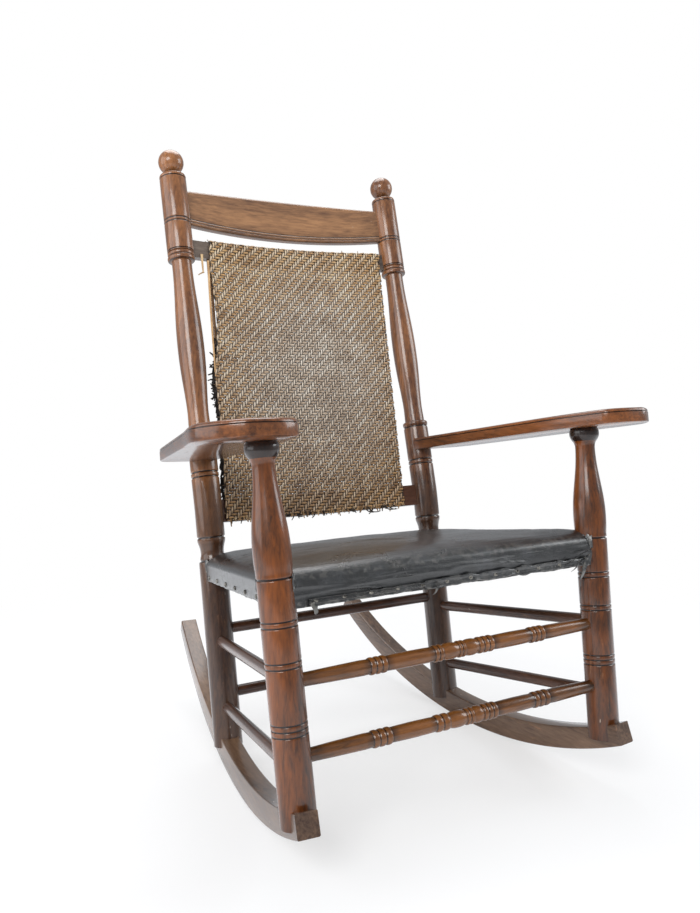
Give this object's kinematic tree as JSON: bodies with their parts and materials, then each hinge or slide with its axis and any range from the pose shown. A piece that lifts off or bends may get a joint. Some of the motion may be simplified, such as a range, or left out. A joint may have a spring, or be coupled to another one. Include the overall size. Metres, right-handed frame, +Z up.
{
  "type": "rocking chair",
  "caption": "Turned wooden rocking chair with ball finials, paddle arms, a herringbone woven reed back, a cracked black leather seat and curved runners.",
  "frame": {"origin": "on the floor, midway between the runners' tips and between the two sides", "axes": "+Z up; +X across the chair, to the right of someone who faces its front; +Y backwards, so the sitter faces -Y"},
  "size_m": [0.796, 0.8052, 1.1333],
  "materials": {
    "stained_wood": "dark red-brown stain under worn satin varnish",
    "reed": "dull woven reed, tan and brown strands",
    "leather": "black, cracked, half-gloss",
    "tack_steel": "darkened steel tack heads"
  },
  "bodies": {
    "root": {"arm_left": "stained_wood", "arm_right": "stained_wood", "back_side_stick_left": "stained_wood", "back_side_stick_right": "stained_wood", "crest_rail": "stained_wood", "front_post_left": "stained_wood", "front_post_right": "stained_wood", "front_stretcher_lower": "stained_wood", "front_stretcher_upper": "stained_wood", "leather_edge_strip": "leather", "leather_seat_cover": "leather", "lower_back_rail": "stained_wood", "rear_post_left": "stained_wood", "rear_post_right": "stained_wood", "rear_stretcher_lower": "stained_wood", "rear_stretcher_upper": "stained_wood", "runner_left": "stained_wood", "runner_right": "stained_wood", "seat_rail_front": "stained_wood", "seat_rail_left": "stained_wood", "seat_rail_rear": "stained_wood", "seat_rail_right": "stained_wood", "side_stretcher_lower_left": "stained_wood", "side_stretcher_lower_right": "stained_wood", "side_stretcher_upper_left": "stained_wood", "side_stretcher_upper_right": "stained_wood", "upholstery_tacks": "tack_steel", "upper_back_rail": "stained_wood", "woven_back_panel": "reed", "woven_seat": "reed"}
  },
  "joints": []
}
